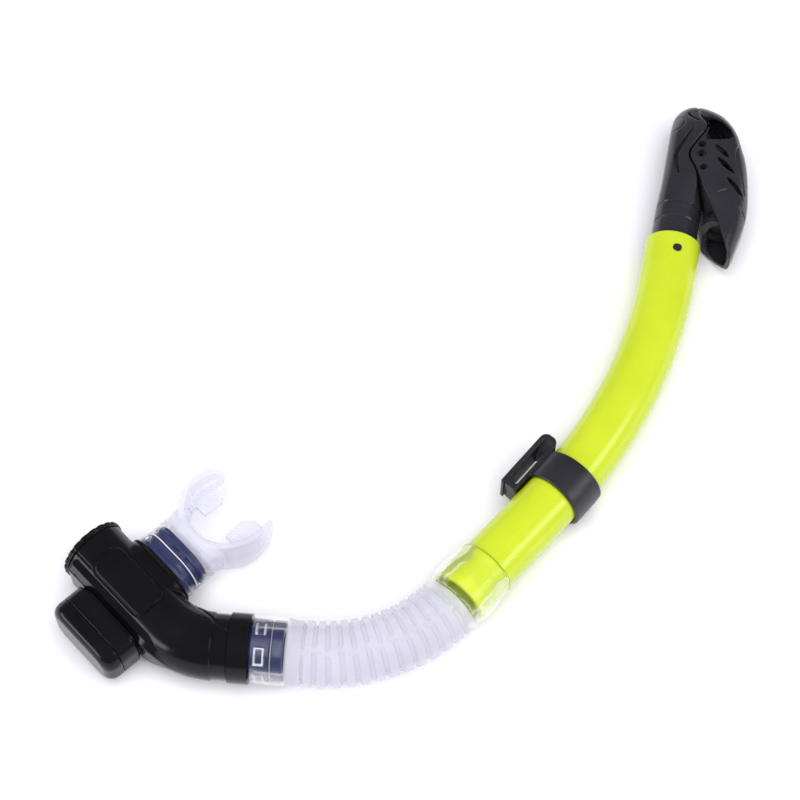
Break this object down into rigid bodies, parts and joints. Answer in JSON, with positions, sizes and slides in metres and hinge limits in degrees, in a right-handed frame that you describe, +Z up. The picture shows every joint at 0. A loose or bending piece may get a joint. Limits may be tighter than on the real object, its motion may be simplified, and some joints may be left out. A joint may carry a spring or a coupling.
{
  "type": "dry snorkel",
  "caption": "Dry snorkel with a float valve top, corrugated silicone hose, swivelling purge chamber, soft mouthpiece and a sliding mask strap keeper.",
  "frame": {"origin": "centre of the footprint on the table, with the snorkel lying on its side", "axes": "+X along the snorkel from the mouthpiece chamber to the dry top, +Z up, square to the plane that the bent tube lies in"},
  "size_m": [0.4329, 0.1492, 0.033],
  "materials": {
    "barrel_yellow": "glossy, slightly translucent fluorescent yellow-green",
    "gloss_black": "high gloss moulded black",
    "keeper_black": "satin flexible plastic",
    "clear_silicone": "clear milky silicone",
    "coupler_blue": "dark blue, slightly translucent",
    "seal_rubber": "black rubber",
    "seal_silicone": "milky silicone",
    "inner_grey": "satin",
    "float_grey": "satin",
    "pin_steel": "polished"
  },
  "bodies": {
    "barrel": {"barrel_tube": "barrel_yellow", "flexible_hose": "clear_silicone", "top_body": "gloss_black", "neck_seal": "seal_rubber", "top_hood": "gloss_black", "hood_pins": "gloss_black", "float_cage": "inner_grey", "lever_pin": "pin_steel"},
    "keeper": {"keeper_ring": "keeper_black"},
    "coupler": {"hose_coupler": "coupler_blue", "swivel_seal": "seal_rubber"},
    "chamber": {"chamber_housing": "gloss_black", "swivel_collar": "gloss_black", "end_cap": "gloss_black", "end_cap_seal": "seal_rubber", "purge_body": "gloss_black", "purge_cover": "gloss_black", "mouthpiece_ring": "coupler_blue", "mouthpiece": "clear_silicone"},
    "purge_disc": {"purge_valve": "clear_silicone"},
    "float": {"float": "float_grey"},
    "lever": {"valve_lever": "inner_grey", "valve_seal": "seal_silicone"}
  },
  "joints": [
    {"name": "hose_flex", "type": "hinge", "parent": "barrel", "child": "coupler", "pos_m": [-0.10453, -0.05496, 0.0165], "axis": [0, 0, 1], "range_deg": [-30, 40], "stiffness_Nm_per_rad": 0.15, "deforming": ["flexible_hose"]},
    {"name": "elbow_swivel", "type": "hinge", "parent": "coupler", "child": "chamber", "pos_m": [-0.15552, -0.01586, 0.0165], "axis": [0.7071, -0.7071, 0], "continuous": true},
    {"name": "keeper_slide", "type": "hinge", "parent": "barrel", "child": "keeper", "pos_m": [-0.0355, 0.21689, 0.0165], "axis": [0, 0, 1], "range_deg": [0, 26]},
    {"name": "float_slide", "type": "slide", "parent": "barrel", "child": "float", "axis": [0.7771, 0.6293, 0], "range_m": [0, 0.0047]},
    {"name": "lever_swing", "type": "hinge", "parent": "barrel", "child": "lever", "pos_m": [0.1995, 0.0276, 0.0165], "axis": [0, 0, -1], "range_deg": [0, 30]},
    {"name": "purge_lift", "type": "slide", "parent": "chamber", "child": "purge_disc", "axis": [-0.9986, -0.0523, 0], "range_m": [0, 0.0012], "stiffness_N_per_m": 30}
  ],
  "couplings": [
    {"joint": "lever_swing", "follows": "float_slide", "rad_per_m": 111.4}
  ]
}
